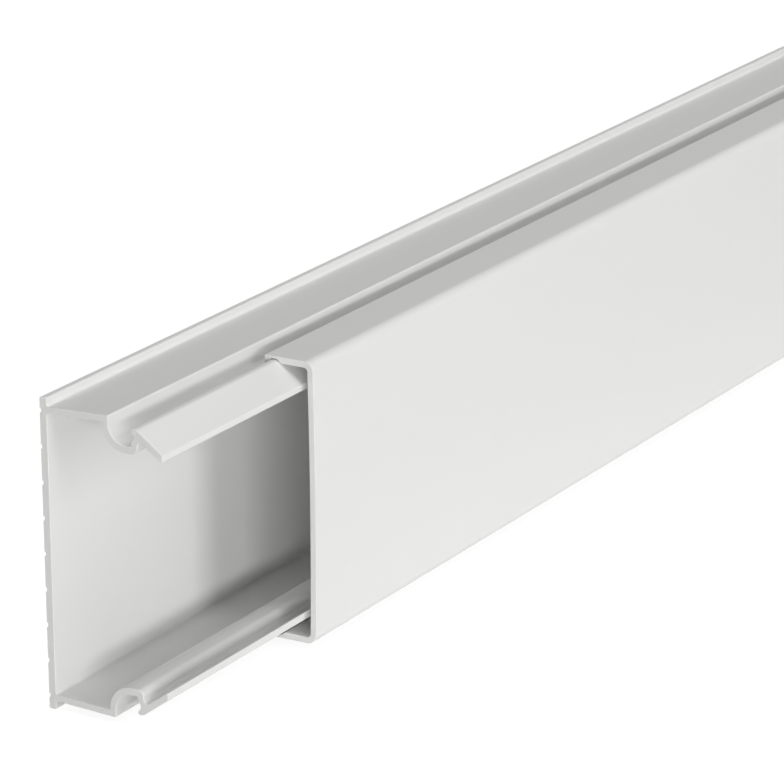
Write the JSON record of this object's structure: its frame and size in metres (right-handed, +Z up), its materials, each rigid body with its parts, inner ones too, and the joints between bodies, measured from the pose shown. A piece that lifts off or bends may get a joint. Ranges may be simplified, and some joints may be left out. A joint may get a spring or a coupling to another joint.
{
  "type": "cord cover raceway",
  "caption": "Two-piece cable trunking: a flat wall base with a snap groove along each edge, and a shallow hooked cover that slides along it and closes the cable channel.",
  "frame": {"origin": "on the floor under the middle of the overall length and depth, with the trunking standing on its lower plate edge", "axes": "+X along the stock, towards the end that the cover overhangs; +Y towards the wall that the back plate is fixed to; +Z up the plate's height"},
  "size_m": [2.081, 0.0508, 0.105],
  "materials": {
    "base_plastic": "satin extruded uPVC",
    "cover_plastic": "satin extruded uPVC"
  },
  "bodies": {
    "base": {"trunking_base": "base_plastic"},
    "cover": {"trunking_cover": "cover_plastic"}
  },
  "joints": [
    {"name": "cover_slide", "type": "slide", "parent": "base", "child": "cover", "axis": [1, 0, 0], "range_m": [-0.081, 0.919]}
  ]
}
